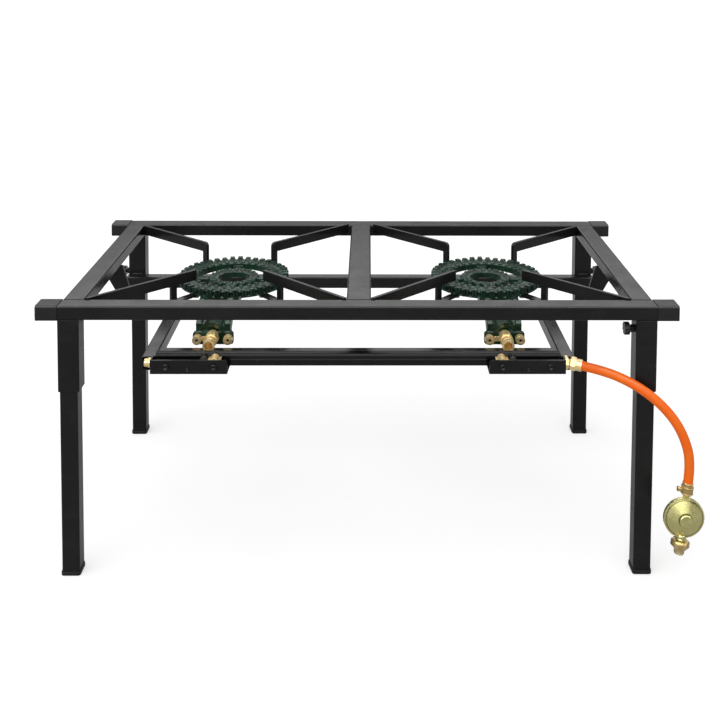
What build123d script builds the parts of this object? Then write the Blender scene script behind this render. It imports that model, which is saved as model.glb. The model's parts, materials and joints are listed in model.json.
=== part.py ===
import os
from math import acos, cos, hypot, pi, radians, sin, tan

from build123d import *

os.makedirs("parts", exist_ok=True)

# Overall frame
frame_w = 900.0
frame_d = 450.0
top_z = 390.0

# Top rails, hollow tube
rail_w = 30.0
rail_h = 20.0
tube_wall = 1.5
tube_r = 2.5
rail_overhang = 30.0
centre_bar_w = 35.0
rail_edge = frame_d / 2
rail_inner = rail_edge - rail_w
rail_y = rail_edge - rail_w / 2
side_x = frame_w / 2 - rail_overhang - rail_w / 2
side_in = side_x - rail_w / 2
side_out = side_x + rail_w / 2
rail_mid_z = top_z - rail_h / 2
rail_under = top_z - rail_h

# Closed caps on the rail ends
cap_t = 1.0
cap_end_t = 2.0
cap_len = frame_w / 2 - side_out

# Leg sockets and lower legs
socket_len = 102.0
leg_w = 25.0
leg_fit = 0.3
leg_top_gap = 5.0
leg_shift = (rail_w - 2 * tube_wall - leg_w) / 2 - leg_fit
foot_h = 6.0
foot_floor = 2.5
foot_wall = 1.2
socket_low = rail_under - socket_len

# Thumbscrews
screw_d = 6.0
screw_fit = 0.1
screw_tip_gap = 0.3
nut_af = 10.0
nut_t = 5.0
knob_d = 18.0
knob_t = 7.0
knob_gap = 2.0
flute_d = 3.0
flutes = 8
front_screw_z = top_z - 36.0
rear_screw_z = top_z - 89.0
hole_d = screw_d + 2 * screw_fit

# Lower frame, hollow tube
low_w = 20.0
low_r = 2.0
low_z = top_z - 100.0
low_top = low_z + low_w / 2
low_front_y = -155.0
low_rail_x = 303.0
low_rail_front = -179.0
low_mid_y = 35.0
low_mid_half = 375.0
low_rear_y = rail_inner - low_w / 2
low_in = low_rail_x - low_w / 2
low_front_face = low_front_y - low_w / 2

# Hanger plates between the side rails and the lower frame
hanger_t = 5.0
hanger_y = low_mid_y - low_w / 2
hanger_top_in = 388.0
hanger_low_in = 361.0
hanger_low_out = 372.0
hanger_shoulder = 6.0

# Gas rail
pipe_d = 13.4
pipe_wall = 1.6
pipe_end_t = 3.0
pipe_z = top_z - 91.0
pipe_y = low_front_face - pipe_d / 2
boss_d = 12.0

# Tap brackets
plate_t = 2.0
plate_y = -199.0
plate_in = 187.0
plate_out = 297.0
plate_low = top_z - 107.5
plate_h = 20.0
plate_r = 4.0
tap_x = 206.5
tap_z = top_z - 97.5
tap_hole_d = 9.0
end_hole_x = 275.0
small_hole_x = 244.0
small_hole_z = top_z - 101.0
small_hole_d = 5.0

# Taps, feed tube, plug and spindle
feed_y = -189.0
feed_z = top_z - 94.5
feed_d = 8.0
tap_w = 18.0
tap_back = pipe_y - pipe_d / 2 - 2.0
tap_top = plate_low + plate_h - 2.0
hump_d = 13.0
spindle_d = 6.0
spindle_fit = 0.1
spindle_depth = 9.0
spindle_tip = 0.6
slot_w = 1.2
slot_depth = 1.5
port_d = 10.0
port_fit = 0.2
plug_d = 15.0
plug_step_d = 12.0
plug_t = 6.0
plug_step_t = 10.0

# Burner castings
burner_x = 203.75
ring_r = 87.0
ring_in_r = 58.5
ring_low = top_z - 37.8
ring_top = top_z - 28.0
nub_top = top_z - 24.3
nubs = 40
nub_l = 9.0
nub_w = 7.5
nub_out = 1.2
nub_low = top_z - 34.5
crown_nubs = 30
crown_l = 6.0
crown_w = 5.0
crown_top = top_z - 25.3
nub_set_in = 0.7
slot_w_port = 2.4
slot_l = 9.0
slot_low = top_z - 33.5
groove_w = 6.0
groove_depth = 1.6
hub_r = 39.5
hub_in_r = 24.5
hub_low = top_z - 41.0
hub_top = top_z - 31.5
hub_nubs = 20
hub_nub_l = 8.0
hub_nub_w = 5.0
hub_nub_top = top_z - 28.6
bridge_w = 15.0
bridge_low = top_z - 38.5
bridge_top = top_z - 32.5
chamber_w = 36.0
chamber_front = -80.0
chamber_back = -32.0
chamber_low = top_z - 52.0
chamber_lap = 2.2

# Burner neck and flange
neck_x = 219.0
neck_d = 30.0
neck_low_z = top_z - 79.0
neck_back = -50.0
neck_high_z = top_z - 46.0
flange_w = 61.0
flange_y = -122.0
flange_t = 7.0
neck_front = flange_y + flange_t
flange_low = top_z - 95.0
flange_h = 19.0
flange_r = 4.0
rib_at = 21.5
rib_t = 9.0
rib_front = -120.0
rib_lap = 1.2

# Brass connector in front of the flange
conn_z = low_top + 9.5
conn_d = 17.0
conn_front = low_front_face
conn_ring_d = 18.0
conn_ring_l = 6.0
conn_waist_d = 14.5
conn_waist_l = 4.0
conn_hex_af = 17.0
conn_hex_l = 12.0
conn_bore_d = 12.0
conn_bore_l = 32.0
ear_h = 7.0
ear_t = 3.0

# Plugs on the flange
fbolt_at = 23.0
fbolt_z = flange_low + 9.5
fbolt_d = 14.0
fbolt_l = 9.0
fbolt_hole_d = 5.0
fbolt_hole_l = 6.0
fbolt_chamfer = 1.5

# Pan support arms, flat bar on edge
arm_t = 5.0
arm_h = 16.0
arm_up = 2.0
post_w = 10.0
post_at = 0.77
arm_corner_r = 7.0
tab_t = 3.0
tab_w = 12.0
tab_in_r = 73.0
seat_r = 79.0
arm_run_on = 25.0
front_arm_ends = ((177.25, -190.0, 50.0, -67.0), (-173.75, -184.0, -56.0, -69.0))
rear_arm_ends = ((185.25, 185.0, 54.0, 77.0), (-172.75, 190.0, -54.0, 77.0))

# Bolts that hold the burners to the tabs
bolt_d = 5.0
bolt_fit = 0.15
bolt_af = 8.0
bolt_head_t = 3.2
bolt_in = 6.0
bolt_end_gap = 0.5

# Hose route from the ferrule to the regulator, tube outside diameter
hose_d = 13.3
hose_start = (320.3, -196.2, 293.6)
hose_end = (454.6, -265.0, 158.6)
reg_lean = 6.0
hose_first_run = 34.3
hose_last_run = 30.0
hose_mid = (
    (383.4, -233.0, 284.2),
    (409.6, -248.0, 270.1),
    (432.7, -257.0, 248.2),
    (448.2, -262.0, 222.4),
)
corner_share = 0.45

# Fittings between the bracket and the hose
inlet_nut_af = 17.0
inlet_nut_t = 4.0
union_gap = 2.8
union_l = 9.0
union_chamfer = 2.4
ferrule_d = 17.0
ferrule_groove_d = 16.0
ferrule_groove_l = 1.2

# Regulator, measured down its leaning axis from the hose end
reg_centre = 49.8
tail_d = 14.0
tail_l = 17.0
clamp_d = 16.5
clamp_from = 6.0
clamp_l = 9.0
clamp_screw_d = 5.0
clamp_screw_l = 13.5
clamp_head_d = 7.0
clamp_head_l = 2.5
clamp_screw_y = 4.0
neck_top_d = 9.0
body_r = 26.0
body_back = 11.0
rim_r = 28.0
rim_t = 3.5
rim_back_t = 1.5
cone_top_r = 11.0
cone_h = 7.0
hub_d = 18.0
hub_cap_t = 3.0
hub_chamfer = 1.0
rivet_d = 3.5
rivet_t = 1.0
rivet_at = 20.5
foot_neck_d = 11.0
stub_d = 8.0
stub_fit = 0.1
swivel_from = 78.4
swivel_gap = 0.3
swivel_af = 22.0
swivel_t = 14.0
swivel_chamfer = 1.5
male_d = 14.5
male_l = 8.6
male_root_d = 13.2
male_grooves = 3
male_groove_l = 1.1
male_bore_d = 6.0

# Long top rails
for name, sy in (("front_rail", -1), ("rear_rail", 1)):
    with BuildPart() as long_rail:
        with BuildSketch(Plane.YZ.offset(cap_end_t - frame_w / 2)):
            with Locations((sy * rail_y, rail_mid_z)):
                RectangleRounded(rail_w, rail_h, tube_r)
                Rectangle(rail_w - 2 * tube_wall, rail_h - 2 * tube_wall, mode=Mode.SUBTRACT)
        extrude(amount=frame_w - 2 * cap_end_t)
    long_rail.part.label = name
    export_step(long_rail.part, f"parts/{name}.step")

# Side rails between the long rails
for name, sx in (("left_side_rail", -1), ("right_side_rail", 1)):
    with BuildPart() as side_rail:
        with BuildSketch(Plane.XZ.offset(-rail_inner)):
            with Locations((sx * side_x, rail_mid_z)):
                RectangleRounded(rail_w, rail_h, tube_r)
                Rectangle(rail_w - 2 * tube_wall, rail_h - 2 * tube_wall, mode=Mode.SUBTRACT)
        extrude(amount=2 * rail_inner)
    side_rail.part.label = name
    export_step(side_rail.part, f"parts/{name}.step")

# Centre bar
with BuildPart() as centre_bar:
    with BuildSketch(Plane.XZ.offset(-rail_inner)):
        with Locations((0, rail_mid_z)):
            RectangleRounded(centre_bar_w, rail_h, tube_r)
            Rectangle(centre_bar_w - 2 * tube_wall, rail_h - 2 * tube_wall, mode=Mode.SUBTRACT)
    extrude(amount=2 * rail_inner)
centre_bar.part.label = "centre_bar"
export_step(centre_bar.part, "parts/centre_bar.step")

# End caps, one cup over each rail end
with BuildPart() as rail_end_caps:
    for sx in (-1, 1):
        for sy in (-1, 1):
            cap_x = sx * (side_out + cap_len / 2)
            pocket_x = sx * (side_out + (cap_len - cap_end_t) / 2)
            with BuildSketch(Plane.YZ.offset(cap_x - cap_len / 2)):
                with Locations((sy * rail_y, rail_mid_z)):
                    RectangleRounded(rail_w + 2 * cap_t, rail_h + 2 * cap_t, tube_r + cap_t)
            extrude(amount=cap_len)
            pocket_l = cap_len - cap_end_t
            with BuildSketch(Plane.YZ.offset(pocket_x - pocket_l / 2)):
                with Locations((sy * rail_y, rail_mid_z)):
                    RectangleRounded(rail_w, rail_h, tube_r)
            extrude(amount=pocket_l, mode=Mode.SUBTRACT)
rail_end_caps.part.label = "rail_end_caps"
export_step(rail_end_caps.part, "parts/rail_end_caps.step")

# Legs: corner name, side, front or rear, outward direction of the screw, screw height
corners = (
    ("front_left", -1, -1, (0, 1, 0), front_screw_z),
    ("front_right", 1, -1, (-1, 0, 0), front_screw_z),
    ("rear_left", -1, 1, (-1, 0, 0), rear_screw_z),
    ("rear_right", 1, 1, (1, 0, 0), rear_screw_z),
)

# Leg sockets under the long rails, each with one clearance hole for its screw
for name, sx, sy, out, screw_z in corners:
    face = Vector(sx * side_x, sy * rail_y, screw_z) + Vector(*out) * (rail_w / 2)
    with BuildPart() as leg_socket:
        with BuildSketch(Plane.XY.offset(socket_low)):
            with Locations((sx * side_x, sy * rail_y)):
                RectangleRounded(rail_w, rail_w, tube_r)
                Rectangle(rail_w - 2 * tube_wall, rail_w - 2 * tube_wall, mode=Mode.SUBTRACT)
        extrude(amount=socket_len)
        with BuildSketch(Plane(origin=face, z_dir=out)):
            Circle(hole_d / 2)
        extrude(amount=-2 * tube_wall, mode=Mode.SUBTRACT)
    leg_socket.part.label = f"{name}_leg_socket"
    export_step(leg_socket.part, f"parts/{name}_leg_socket.step")

# Weld nuts on the sockets
with BuildPart() as socket_weld_nuts:
    for name, sx, sy, out, screw_z in corners:
        face = Vector(sx * side_x, sy * rail_y, screw_z) + Vector(*out) * (rail_w / 2)
        with BuildSketch(Plane(origin=face, z_dir=out)):
            RegularPolygon(nut_af / 2, 6, major_radius=False)
            Circle(hole_d / 2, mode=Mode.SUBTRACT)
        extrude(amount=nut_t)
socket_weld_nuts.part.label = "socket_weld_nuts"
export_step(socket_weld_nuts.part, "parts/socket_weld_nuts.step")

# Lower legs, front pair against the outer wall and rear pair against the inner wall
for name, sx, sy, out, screw_z in corners:
    leg_x = sx * (side_x - sy * leg_shift)
    with BuildPart() as lower_leg:
        with BuildSketch(Plane.XY.offset(foot_floor)):
            with Locations((leg_x, sy * rail_y)):
                RectangleRounded(leg_w, leg_w, tube_r)
                Rectangle(leg_w - 2 * tube_wall, leg_w - 2 * tube_wall, mode=Mode.SUBTRACT)
        extrude(amount=rail_under - leg_top_gap - foot_floor)
    lower_leg.part.label = f"{name}_lower_leg"
    export_step(lower_leg.part, f"parts/{name}_lower_leg.step")

    with BuildPart() as foot_cap:
        with BuildSketch(Plane.XY):
            with Locations((leg_x, sy * rail_y)):
                RectangleRounded(leg_w + 2 * foot_wall, leg_w + 2 * foot_wall, tube_r + foot_wall)
        extrude(amount=foot_h)
        with BuildSketch(Plane.XY.offset(foot_floor)):
            with Locations((leg_x, sy * rail_y)):
                RectangleRounded(leg_w, leg_w, tube_r)
        extrude(amount=foot_h, mode=Mode.SUBTRACT)
        chamfer(foot_cap.faces().sort_by(Axis.Z)[0].outer_wire().edges(), foot_wall)
    foot_cap.part.label = f"{name}_foot_cap"
    export_step(foot_cap.part, f"parts/{name}_foot_cap.step")

# Thumbscrews, tip just clear of the lower leg
for name, sx, sy, out, screw_z in corners:
    leg_at = Vector(sx * (side_x - sy * leg_shift), sy * rail_y, screw_z)
    face = Vector(sx * side_x, sy * rail_y, screw_z) + Vector(*out) * (rail_w / 2)
    tip = (face - leg_at).dot(Vector(*out)) - leg_w / 2 - screw_tip_gap
    knob_from = nut_t + knob_gap
    with BuildPart() as thumbscrew:
        with BuildSketch(Plane(origin=face - Vector(*out) * tip, z_dir=out)):
            Circle(screw_d / 2)
        extrude(amount=tip + knob_from)
        with BuildSketch(Plane(origin=face + Vector(*out) * knob_from, z_dir=out)):
            Circle(knob_d / 2)
            with PolarLocations(knob_d / 2, flutes):
                Circle(flute_d / 2, mode=Mode.SUBTRACT)
        extrude(amount=knob_t)
    thumbscrew.part.label = f"{name}_thumbscrew"
    export_step(thumbscrew.part, f"parts/{name}_thumbscrew.step")

# Lower tubes that run across
across = (
    ("lower_front_tube", low_front_y, low_in),
    ("lower_mid_tube", low_mid_y, low_mid_half),
    ("rear_stretcher", low_rear_y, side_out),
)
for name, tube_y, half in across:
    with BuildPart() as cross_tube:
        with BuildSketch(Plane.YZ.offset(-half)):
            with Locations((tube_y, low_z)):
                RectangleRounded(low_w, low_w, low_r)
                Rectangle(low_w - 2 * tube_wall, low_w - 2 * tube_wall, mode=Mode.SUBTRACT)
        extrude(amount=2 * half)
    cross_tube.part.label = name
    export_step(cross_tube.part, f"parts/{name}.step")

# Lower side rails
for name, sx in (("lower_left_rail", -1), ("lower_right_rail", 1)):
    with BuildPart() as lower_rail:
        with BuildSketch(Plane.XZ.offset(-hanger_y)):
            with Locations((sx * low_rail_x, low_z)):
                RectangleRounded(low_w, low_w, low_r)
                Rectangle(low_w - 2 * tube_wall, low_w - 2 * tube_wall, mode=Mode.SUBTRACT)
        extrude(amount=hanger_y - low_rail_front)
    lower_rail.part.label = name
    export_step(lower_rail.part, f"parts/{name}.step")

# Hanger plates
with BuildPart() as hanger_plates:
    for sx in (-1, 1):
        with BuildSketch(Plane.XZ.offset(-hanger_y)):
            Polygon(
                (sx * hanger_top_in, rail_under),
                (sx * side_out, rail_under),
                (sx * side_out, rail_under - hanger_shoulder),
                (sx * hanger_low_out, low_z - low_w / 2),
                (sx * hanger_low_in, low_z - low_w / 2),
                align=None,
            )
        extrude(amount=hanger_t)
hanger_plates.part.label = "hanger_plates"
export_step(hanger_plates.part, "parts/hanger_plates.step")

# Gas rail, a closed pipe with a boss behind each tap
with BuildPart() as gas_rail:
    with BuildSketch(Plane.YZ.offset(-low_in)):
        with Locations((pipe_y, pipe_z)):
            Circle(pipe_d / 2)
    extrude(amount=2 * low_in)
    for sx in (-1, 1):
        with BuildSketch(Plane.XZ.offset(-pipe_y)):
            with Locations((sx * tap_x, pipe_z)):
                Circle(boss_d / 2)
        extrude(amount=pipe_y - tap_back)
    with BuildSketch(Plane.YZ.offset(pipe_end_t - low_in)):
        with Locations((pipe_y, pipe_z)):
            Circle(pipe_d / 2 - pipe_wall)
    extrude(amount=2 * (low_in - pipe_end_t), mode=Mode.SUBTRACT)
gas_rail.part.label = "gas_rail"
export_step(gas_rail.part, "parts/gas_rail.step")

# Tap brackets
for side, sx in (("left", -1), ("right", 1)):
    with BuildPart() as tap_bracket:
        with BuildSketch(Plane.XZ.offset(-plate_y)) as plate_face:
            with Locations((sx * (plate_in + plate_out) / 2, plate_low + plate_h / 2)):
                Rectangle(plate_out - plate_in, plate_h)
            inner_top = Vector(sx * plate_in, plate_low + plate_h)
            fillet(plate_face.vertices().sort_by_distance(inner_top)[0], plate_r)
            with Locations((sx * tap_x, tap_z), (sx * end_hole_x, tap_z)):
                Circle(tap_hole_d / 2, mode=Mode.SUBTRACT)
            with Locations((sx * small_hole_x, small_hole_z)):
                Circle(small_hole_d / 2, mode=Mode.SUBTRACT)
        extrude(amount=-plate_t)
        floor_l = low_front_face - plate_y - plate_t
        with BuildSketch(Plane.XY.offset(plate_low)):
            with Locations((sx * (plate_in + low_in) / 2, low_front_face - floor_l / 2)):
                Rectangle(low_in - plate_in, floor_l)
        extrude(amount=plate_t)
        end_l = low_rail_front - plate_y
        with BuildSketch(Plane.YZ.offset(sx * (plate_out - plate_t / 2) - plate_t / 2)):
            with Locations((plate_y + end_l / 2, plate_low + plate_h / 2)):
                Rectangle(end_l, plate_h)
            with Locations((feed_y, feed_z)):
                Circle(port_d / 2 + port_fit, mode=Mode.SUBTRACT)
        extrude(amount=plate_t)
    tap_bracket.part.label = f"{side}_tap_bracket"
    export_step(tap_bracket.part, f"parts/{side}_tap_bracket.step")

# Tap bodies with the feed tube that runs out to the bracket end
tap_front = plate_y + plate_t
for side, sx in (("left", -1), ("right", 1)):
    with BuildPart() as tap_body:
        with BuildSketch(Plane.XZ.offset(-tap_front)):
            with Locations((sx * tap_x, plate_low + plate_t)):
                Rectangle(tap_w, tap_top - plate_low - plate_t, align=(Align.CENTER, Align.MIN))
            with Locations((sx * tap_x, tap_top - 2.0)):
                Circle(hump_d / 2)
        extrude(amount=tap_front - tap_back)
        with BuildSketch(Plane.YZ.offset(sx * tap_x)):
            with Locations((feed_y, feed_z)):
                Circle(feed_d / 2)
        extrude(amount=sx * (plate_out - plate_t - tap_x))
        with BuildSketch(Plane.XZ.offset(-tap_front)):
            with Locations((sx * tap_x, tap_z)):
                Circle(spindle_d / 2 + spindle_fit)
        extrude(amount=-spindle_depth - spindle_fit, mode=Mode.SUBTRACT)
    tap_body.part.label = f"{side}_tap_body"
    export_step(tap_body.part, f"parts/{side}_tap_body.step")

    with BuildPart() as tap_spindle:
        with BuildSketch(Plane.XZ.offset(-plate_y - spindle_tip)):
            with Locations((sx * tap_x, tap_z)):
                Circle(spindle_d / 2)
        extrude(amount=-(plate_t + spindle_depth - spindle_tip))
        with BuildSketch(Plane.XZ.offset(-plate_y - spindle_tip)):
            with Locations((sx * tap_x, tap_z)):
                Rectangle(spindle_d, slot_w)
        extrude(amount=-slot_depth, mode=Mode.SUBTRACT)
    tap_spindle.part.label = f"{side}_tap_spindle"
    export_step(tap_spindle.part, f"parts/{side}_tap_spindle.step")

# Plug on the closed end of the left bracket
with BuildPart() as gas_rail_plug:
    with BuildSketch(Plane.YZ.offset(plate_t - plate_out)):
        with Locations((feed_y, feed_z)):
            Circle(port_d / 2)
    extrude(amount=-plate_t)
    with BuildSketch(Plane.YZ.offset(-plate_out)):
        with Locations((feed_y, feed_z)):
            Circle(plug_d / 2)
    extrude(amount=-plug_t)
    with BuildSketch(Plane.YZ.offset(-plate_out - plug_t)):
        with Locations((feed_y, feed_z)):
            RegularPolygon(plug_step_d / 2, 6, major_radius=False)
    extrude(amount=-plug_step_t)
gas_rail_plug.part.label = "gas_rail_plug"
export_step(gas_rail_plug.part, "parts/gas_rail_plug.step")

# Burner castings: two nubbed rings, bridges, gas chamber, neck, flange and side ribs
for side, sx in (("left", -1), ("right", 1)):
    centre = (sx * burner_x, 0)
    with BuildPart() as burner:
        with BuildSketch(Plane.XY.offset(ring_low)):
            with Locations(centre):
                Circle(ring_r)
                Circle(ring_in_r, mode=Mode.SUBTRACT)
        extrude(amount=ring_top - ring_low)
        with BuildSketch(Plane.XY.offset(ring_top - groove_depth)):
            with Locations(centre):
                Circle((ring_r + ring_in_r + groove_w) / 2)
                Circle((ring_r + ring_in_r - groove_w) / 2, mode=Mode.SUBTRACT)
        extrude(amount=groove_depth, mode=Mode.SUBTRACT)
        with BuildSketch(Plane.XY.offset(nub_low)):
            with Locations(centre):
                with PolarLocations(ring_r + nub_out - nub_l / 2, nubs):
                    Rectangle(nub_l, nub_w)
        extrude(amount=nub_top - nub_low)
        with BuildSketch(Plane.XY.offset(slot_low)):
            with Locations(centre):
                with PolarLocations(ring_r + nub_out, nubs, start_angle=180 / nubs):
                    Rectangle(slot_l, slot_w_port)
        extrude(amount=ring_top - slot_low, mode=Mode.SUBTRACT)
        with BuildSketch(Plane.XY.offset(ring_top - groove_depth)):
            with Locations(centre):
                with PolarLocations(ring_in_r + nub_set_in + crown_l / 2, crown_nubs):
                    Rectangle(crown_l, crown_w)
        extrude(amount=crown_top - ring_top + groove_depth)
        with BuildSketch(Plane.XY.offset(hub_low)):
            with Locations(centre):
                Circle(hub_r)
                Circle(hub_in_r, mode=Mode.SUBTRACT)
        extrude(amount=hub_top - hub_low)
        with BuildSketch(Plane.XY.offset(hub_top - groove_depth)):
            with Locations(centre):
                with PolarLocations(hub_r - nub_set_in - hub_nub_l / 2, hub_nubs):
                    Rectangle(hub_nub_l, hub_nub_w)
        extrude(amount=hub_nub_top - hub_top + groove_depth)
        with BuildSketch(Plane.XY.offset(bridge_low)):
            with Locations(centre):
                with PolarLocations((hub_r + ring_in_r) / 2, 4):
                    Rectangle(ring_in_r - hub_r + bridge_w / 2, bridge_w)
        extrude(amount=bridge_top - bridge_low)
        with BuildSketch(Plane.XY.offset(chamber_low)):
            with Locations((sx * burner_x, (chamber_front + chamber_back) / 2)):
                Rectangle(chamber_w, chamber_back - chamber_front)
        extrude(amount=ring_low + chamber_lap - chamber_low)
        neck_start = Vector(sx * neck_x, neck_front, neck_low_z)
        neck_run = Vector(sx * burner_x, neck_back, neck_high_z) - neck_start
        with BuildSketch(Plane(origin=neck_start, z_dir=neck_run)):
            Circle(neck_d / 2)
        extrude(amount=neck_run.length)
        with BuildSketch(Plane.XZ.offset(-flange_y)):
            with Locations((sx * neck_x, flange_low + flange_h / 2)):
                RectangleRounded(flange_w, flange_h, flange_r)
        extrude(amount=-flange_t)
        for rib in (-rib_at, rib_at):
            with BuildSketch(Plane.YZ.offset(sx * neck_x + rib - rib_t / 2)):
                Polygon(
                    (rib_front, flange_low + flange_h / 2),
                    (rib_front, neck_low_z + neck_d / 2),
                    (-ring_r, ring_low + rib_lap),
                    (-ring_in_r - rib_t, ring_low + rib_lap),
                    (-ring_in_r - rib_t, ring_low - rib_t),
                    (neck_front, flange_low + flange_r),
                    align=None,
                )
            extrude(amount=rib_t)
        for arm_u, arm_v, end_u, end_v in front_arm_ends + rear_arm_ends:
            at = post_at if arm_v < 0 else 1.0
            post_u = arm_u + (end_u - arm_u) * at
            post_v = arm_v + (end_v - arm_v) * at
            reach = hypot(post_u, post_v)
            seat = (sx * (burner_x + seat_r * post_u / reach), seat_r * post_v / reach)
            with BuildSketch(Plane.XY.offset(ring_low)):
                with Locations(seat):
                    Circle(bolt_d / 2 + bolt_fit)
            extrude(amount=bolt_in + bolt_end_gap, mode=Mode.SUBTRACT)
    burner.part.label = f"{side}_burner"
    export_step(burner.part, f"parts/{side}_burner.step")

    # Brass connector with a hex, a waist and a hollow front
    with BuildPart() as connector:
        with BuildSketch(Plane.XZ.offset(-flange_y)):
            with Locations((sx * neck_x, conn_z)):
                Circle(conn_d / 2)
        extrude(amount=flange_y - conn_front)
        with BuildSketch(Plane.XZ.offset(-conn_front - conn_ring_l)):
            with Locations((sx * neck_x, conn_z)):
                Circle(conn_d / 2 + 1.0)
                Circle(conn_waist_d / 2, mode=Mode.SUBTRACT)
        extrude(amount=-conn_waist_l, mode=Mode.SUBTRACT)
        with BuildSketch(Plane.XZ.offset(-conn_front)):
            with Locations((sx * neck_x, conn_z)):
                Circle(conn_ring_d / 2)
        extrude(amount=-conn_ring_l)
        hex_from = low_front_y + low_w / 2
        with BuildSketch(Plane.XZ.offset(-hex_from)):
            with Locations((sx * neck_x, conn_z)):
                RegularPolygon(conn_hex_af / 2 + 1.0, 6, major_radius=False)
        extrude(amount=-conn_hex_l)
        ear_l = fbolt_at - fbolt_d / 2
        with BuildSketch(Plane.XZ.offset(-flange_y)):
            with Locations((sx * neck_x - ear_l / 2, fbolt_z)):
                Rectangle(ear_l, ear_h)
        extrude(amount=ear_t)
        with BuildSketch(Plane.XZ.offset(-conn_front)):
            with Locations((sx * neck_x, conn_z)):
                Circle(conn_bore_d / 2)
        extrude(amount=-conn_bore_l, mode=Mode.SUBTRACT)
    connector.part.label = f"{side}_connector"
    export_step(connector.part, f"parts/{side}_connector.step")

# Drilled plugs on the flanges
with BuildPart() as flange_bolts:
    for sx in (-1, 1):
        for at in (-fbolt_at, fbolt_at):
            with BuildSketch(Plane.XZ.offset(-flange_y)):
                with Locations((sx * neck_x + at, fbolt_z)):
                    Circle(fbolt_d / 2)
            extrude(amount=fbolt_l)
            with BuildSketch(Plane.XZ.offset(-flange_y + fbolt_l - fbolt_hole_l)):
                with Locations((sx * neck_x + at, fbolt_z)):
                    Circle(fbolt_hole_d / 2)
            extrude(amount=fbolt_hole_l, mode=Mode.SUBTRACT)
flange_bolts.part.label = "flange_bolts"
export_step(flange_bolts.part, "parts/flange_bolts.step")

# Pan support arms: bar on edge, post, and a tab under the burner ring
arms = (
    ("front_outer", front_arm_ends[0], post_at),
    ("front_inner", front_arm_ends[1], post_at),
    ("rear_outer", rear_arm_ends[0], 1.0),
    ("rear_inner", rear_arm_ends[1], 1.0),
)
for side, sx in (("left", -1), ("right", 1)):
    for name, ends, at in arms:
        start = Vector(sx * (burner_x + ends[0]), ends[1], top_z)
        stop = Vector(sx * (burner_x + ends[2]), ends[3], top_z)
        run = stop - start
        way = run.normalized()
        post_s = run.length * at - (post_w / 2 if at == 1.0 else 0.0)
        post_low = ring_low - tab_t - top_z
        with BuildPart() as arm:
            bar_plane = Plane(origin=start, x_dir=way, z_dir=way.cross(Vector(0, 0, 1)))
            with BuildSketch(bar_plane) as bar_side:
                Polygon(
                    (-arm_run_on, arm_up),
                    (run.length, arm_up),
                    (run.length, arm_up - arm_h),
                    (-arm_run_on, arm_up - arm_h),
                    align=None,
                )
                with Locations((post_s, arm_up)):
                    Rectangle(post_w, arm_up - post_low, align=(Align.CENTER, Align.MAX))
                if at == 1.0:
                    top_corner = bar_side.vertices().sort_by_distance(Vector(run.length, arm_up))[0]
                    fillet(top_corner, arm_corner_r)
            extrude(amount=arm_t / 2, both=True)
            post_u = ends[0] + (ends[2] - ends[0]) * at
            post_v = ends[1] + (ends[3] - ends[1]) * at
            reach = hypot(post_u, post_v)
            inward = Vector(-sx * post_u, -post_v, 0).normalized()
            post_foot = Vector(sx * (burner_x + post_u), post_v, ring_low - tab_t)
            with BuildSketch(Plane(origin=post_foot, x_dir=inward, z_dir=(0, 0, 1))):
                Rectangle(reach - tab_in_r, tab_w, align=(Align.MIN, Align.CENTER))
                with Locations((reach - seat_r, 0)):
                    Circle(bolt_d / 2 + bolt_fit, mode=Mode.SUBTRACT)
            extrude(amount=tab_t)
            with BuildSketch(Plane.XY):
                with Locations((sx * (centre_bar_w / 2 + side_in) / 2, 0)):
                    Rectangle(side_in - centre_bar_w / 2, 2 * rail_inner)
            extrude(amount=2 * top_z, mode=Mode.INTERSECT)
        arm.part.label = f"{side}_{name}_arm"
        export_step(arm.part, f"parts/{side}_{name}_arm.step")

# Bolts from below through the tabs into the burner rings
with BuildPart() as burner_bolts:
    for sx in (-1, 1):
        for name, ends, at in arms:
            post_u = ends[0] + (ends[2] - ends[0]) * at
            post_v = ends[1] + (ends[3] - ends[1]) * at
            reach = hypot(post_u, post_v)
            seat = (sx * (burner_x + seat_r * post_u / reach), seat_r * post_v / reach)
            with BuildSketch(Plane.XY.offset(ring_low - tab_t)):
                with Locations(seat):
                    Circle(bolt_d / 2)
            extrude(amount=tab_t + bolt_in)
            with BuildSketch(Plane.XY.offset(ring_low - tab_t)):
                with Locations(seat):
                    RegularPolygon(bolt_af / 2, 6, major_radius=False)
            extrude(amount=-bolt_head_t)
burner_bolts.part.label = "burner_bolts"
export_step(burner_bolts.part, "parts/burner_bolts.step")

# Bulkhead fitting through the right bracket, with a nipple that leans to the hose
nut_face = Vector(plate_out + inlet_nut_t, feed_y, feed_z)
lean = (Vector(*hose_start) - nut_face).normalized()
with BuildPart() as hose_inlet_fitting:
    with BuildSketch(Plane.YZ.offset(plate_out - plate_t)):
        with Locations((feed_y, feed_z)):
            Circle(port_d / 2)
    extrude(amount=plate_t)
    with BuildSketch(Plane.YZ.offset(plate_out)):
        with Locations((feed_y, feed_z)):
            RegularPolygon(inlet_nut_af / 2, 6, major_radius=False)
    extrude(amount=inlet_nut_t)
    with BuildSketch(Plane(origin=nut_face - lean * inlet_nut_t / 2, z_dir=lean)):
        Circle(port_d / 2)
    extrude(amount=union_gap + inlet_nut_t / 2)
hose_inlet_fitting.part.label = "hose_inlet_fitting"
export_step(hose_inlet_fitting.part, "parts/hose_inlet_fitting.step")

# Union nut on the nipple
with BuildPart() as hose_union_nut:
    with BuildSketch(Plane(origin=nut_face + lean * union_gap, z_dir=lean)):
        RegularPolygon(inlet_nut_af / 2, 6, major_radius=False)
    extrude(amount=union_l)
    chamfer(hose_union_nut.faces().sort_by(Axis(nut_face, lean))[0].edges(), union_chamfer)
hose_union_nut.part.label = "hose_union_nut"
export_step(hose_union_nut.part, "parts/hose_union_nut.step")

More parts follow.
